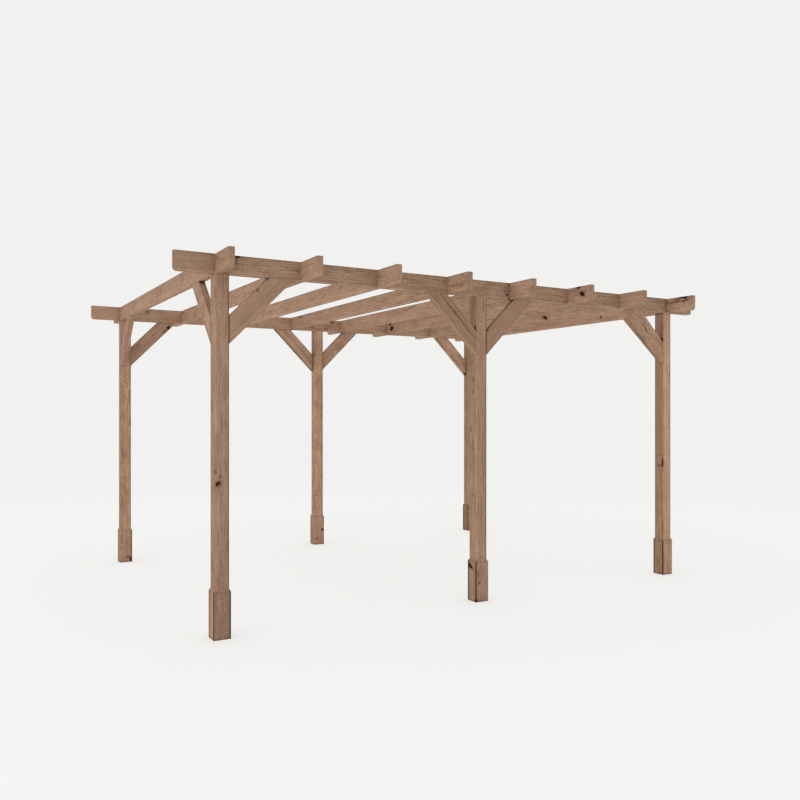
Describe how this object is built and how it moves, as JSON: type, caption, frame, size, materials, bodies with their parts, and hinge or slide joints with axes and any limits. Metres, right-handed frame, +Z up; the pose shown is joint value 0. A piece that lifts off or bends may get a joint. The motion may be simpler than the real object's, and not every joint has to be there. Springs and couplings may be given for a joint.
{
  "type": "wooden pergola",
  "caption": "Free-standing open timber garden frame: square posts with boarded feet, two long beams, flush rafters and angled braces.",
  "frame": {"origin": "on the ground, under the middle of the roof's plan (beams' length by rafters' length)", "axes": "+X along the beams, +Y along the rafters from the front row of posts to the back row, +Z up"},
  "size_m": [5, 3.9, 2.62],
  "materials": {
    "post_timber": "planed softwood, brown impregnation, matt",
    "beam_timber": "planed softwood, brown impregnation, matt",
    "rafter_timber": "planed softwood, brown impregnation, matt",
    "brace_timber": "planed softwood, brown impregnation, matt",
    "foot_boards": "planed softwood boards, brown impregnation, matt"
  },
  "bodies": {
    "root": {"beam_back": "beam_timber", "beam_brace_back_left_of_middle": "brace_timber", "beam_brace_back_left_of_right": "brace_timber", "beam_brace_back_right_of_left": "brace_timber", "beam_brace_back_right_of_middle": "brace_timber", "beam_brace_front_left_of_middle": "brace_timber", "beam_brace_front_left_of_right": "brace_timber", "beam_brace_front_right_of_left": "brace_timber", "beam_brace_front_right_of_middle": "brace_timber", "beam_front": "beam_timber", "foot_boards_back_left": "foot_boards", "foot_boards_back_middle": "foot_boards", "foot_boards_back_right": "foot_boards", "foot_boards_front_left": "foot_boards", "foot_boards_front_middle": "foot_boards", "foot_boards_front_right": "foot_boards", "post_back_left": "post_timber", "post_back_middle": "post_timber", "post_back_right": "post_timber", "post_front_left": "post_timber", "post_front_middle": "post_timber", "post_front_right": "post_timber", "rafter_1": "rafter_timber", "rafter_2": "rafter_timber", "rafter_3": "rafter_timber", "rafter_4": "rafter_timber", "rafter_5": "rafter_timber", "rafter_6": "rafter_timber", "rafter_7": "rafter_timber", "rafter_8": "rafter_timber", "rafter_brace_back_left": "brace_timber", "rafter_brace_back_right": "brace_timber", "rafter_brace_front_left": "brace_timber", "rafter_brace_front_right": "brace_timber"}
  },
  "joints": []
}
